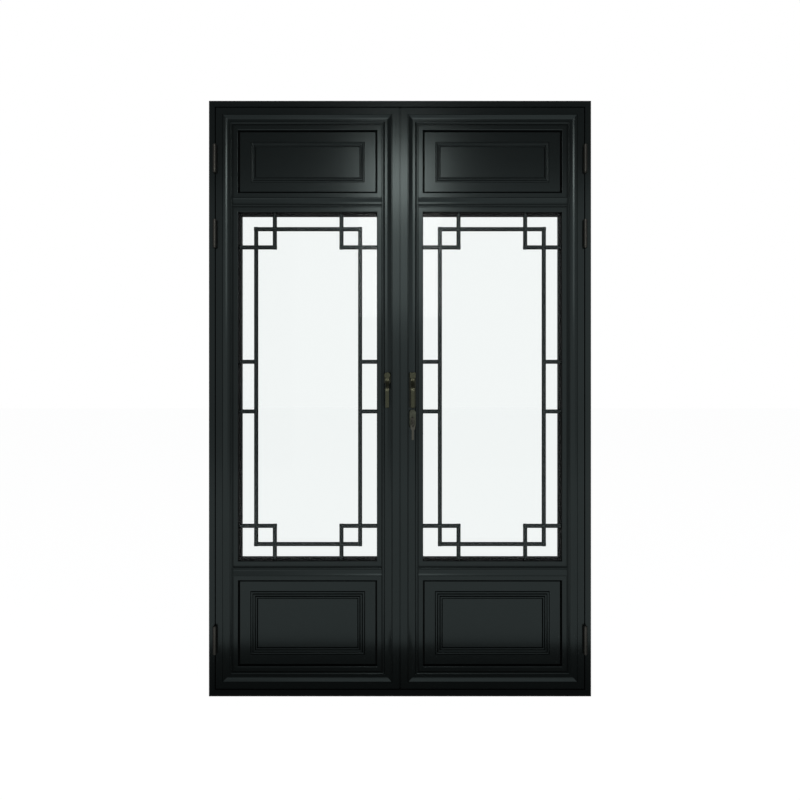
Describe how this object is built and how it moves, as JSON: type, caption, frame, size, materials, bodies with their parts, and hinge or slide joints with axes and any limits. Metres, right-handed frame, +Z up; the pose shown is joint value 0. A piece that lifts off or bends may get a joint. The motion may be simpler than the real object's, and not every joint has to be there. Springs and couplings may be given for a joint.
{
  "type": "double swing door",
  "caption": "Two-leaf glazed swing door in its frame, near-black metal, with a lattice in the glass, framed panels above and below, lever handles and a lock.",
  "frame": {"origin": "centre of the sill's underside", "axes": "+X across the doorway to the right seen from the front, +Z up, the front faces -Y"},
  "size_m": [1.45, 0.1549, 2.26],
  "materials": {
    "coated_frame": "satin powder coat, near black",
    "coated_panel": "satin powder coat, near black",
    "seal_rubber": "matt black",
    "pane_glass": "clear float glass",
    "spacer_bar": "mill finish",
    "lattice_coat": "satin powder coat, near black",
    "mill_aluminium": "mill finish",
    "hinge_coat": "dark bronze-grey satin",
    "handle_bronze": "antique bronze",
    "bright_steel": "plain steel",
    "plug_brass": "satin brass"
  },
  "bodies": {
    "frame": {"frame_left_jamb": "coated_frame", "frame_right_jamb": "coated_frame", "frame_head": "coated_frame", "frame_sill": "coated_frame", "frame_corner_cleats": "mill_aluminium", "frame_stop_seal": "seal_rubber", "frame_hinge_flaps": "hinge_coat", "hinge_pins": "hinge_coat", "frame_hinge_screws": "bright_steel", "bolt_keeps": "bright_steel"},
    "left_leaf": {"left_hinge_stile": "coated_frame", "left_lock_stile": "coated_frame", "left_top_rail": "coated_frame", "left_bottom_rail": "coated_frame", "left_mid_rails": "coated_frame", "left_corner_cleats": "mill_aluminium", "left_mouldings": "coated_frame", "left_beads": "coated_frame", "left_upper_panel": "coated_panel", "left_lower_panel": "coated_panel", "left_gaskets": "seal_rubber", "left_glass_panes": "pane_glass", "left_glass_spacer": "spacer_bar", "left_lattice": "lattice_coat", "left_hinge_flaps": "hinge_coat", "left_hinge_screws": "bright_steel", "left_meeting_seal": "seal_rubber", "left_handle_plates": "handle_bronze", "left_bolt_gear": "bright_steel"},
    "right_leaf": {"right_hinge_stile": "coated_frame", "right_lock_stile": "coated_frame", "right_top_rail": "coated_frame", "right_bottom_rail": "coated_frame", "right_mid_rails": "coated_frame", "right_corner_cleats": "mill_aluminium", "right_mouldings": "coated_frame", "right_beads": "coated_frame", "right_upper_panel": "coated_panel", "right_lower_panel": "coated_panel", "right_gaskets": "seal_rubber", "right_glass_panes": "pane_glass", "right_glass_spacer": "spacer_bar", "right_lattice": "lattice_coat", "right_hinge_flaps": "hinge_coat", "right_hinge_screws": "bright_steel", "right_meeting_seal": "seal_rubber", "right_handle_plates": "handle_bronze", "right_bolt_gear": "bright_steel", "right_cylinder": "plug_brass"},
    "left_lever": {"left_front_lever": "handle_bronze", "left_back_lever": "handle_bronze"},
    "right_lever": {"right_front_lever": "handle_bronze", "right_back_lever": "handle_bronze"},
    "left_rod_up": {"left_upper_rod": "bright_steel"},
    "left_rod_down": {"left_lower_rod": "bright_steel"},
    "right_rod_up": {"right_upper_rod": "bright_steel"},
    "right_rod_down": {"right_lower_rod": "bright_steel"},
    "key": {"right_cylinder_plug": "plug_brass", "right_key": "bright_steel", "spare_key_on_ring": "bright_steel"}
  },
  "joints": [
    {"name": "left_leaf_swing", "type": "hinge", "parent": "frame", "child": "left_leaf", "pos_m": [-0.701, -0.063, 1.13], "axis": [0, 0, -1], "range_deg": [0, 110]},
    {"name": "right_leaf_swing", "type": "hinge", "parent": "frame", "child": "right_leaf", "pos_m": [0.701, -0.063, 1.13], "axis": [0, 0, 1], "range_deg": [0, 110]},
    {"name": "left_lever_turn", "type": "hinge", "parent": "left_leaf", "child": "left_lever", "pos_m": [-0.048, 0, 1.217], "axis": [0, 1, 0], "range_deg": [0, 90]},
    {"name": "right_lever_turn", "type": "hinge", "parent": "right_leaf", "child": "right_lever", "pos_m": [0.048, 0, 1.217], "axis": [0, -1, 0], "range_deg": [0, 90]},
    {"name": "key_turn", "type": "hinge", "parent": "right_leaf", "child": "key", "pos_m": [0.048, 0, 1.051], "axis": [0, -1, 0], "range_deg": [0, 90]},
    {"name": "left_rod_up_slide", "type": "slide", "parent": "left_leaf", "child": "left_rod_up", "axis": [0, 0, 1], "range_m": [0, 0.018]},
    {"name": "left_rod_down_slide", "type": "slide", "parent": "left_leaf", "child": "left_rod_down", "axis": [0, 0, -1], "range_m": [0, 0.018]},
    {"name": "right_rod_up_slide", "type": "slide", "parent": "right_leaf", "child": "right_rod_up", "axis": [0, 0, 1], "range_m": [0, 0.018]},
    {"name": "right_rod_down_slide", "type": "slide", "parent": "right_leaf", "child": "right_rod_down", "axis": [0, 0, -1], "range_m": [0, 0.018]}
  ],
  "couplings": [
    {"joint": "left_rod_up_slide", "follows": "left_lever_turn", "m_per_rad": 0.01145},
    {"joint": "left_rod_down_slide", "follows": "left_lever_turn", "m_per_rad": 0.01145},
    {"joint": "right_rod_up_slide", "follows": "right_lever_turn", "m_per_rad": 0.01145},
    {"joint": "right_rod_down_slide", "follows": "right_lever_turn", "m_per_rad": 0.01145}
  ]
}
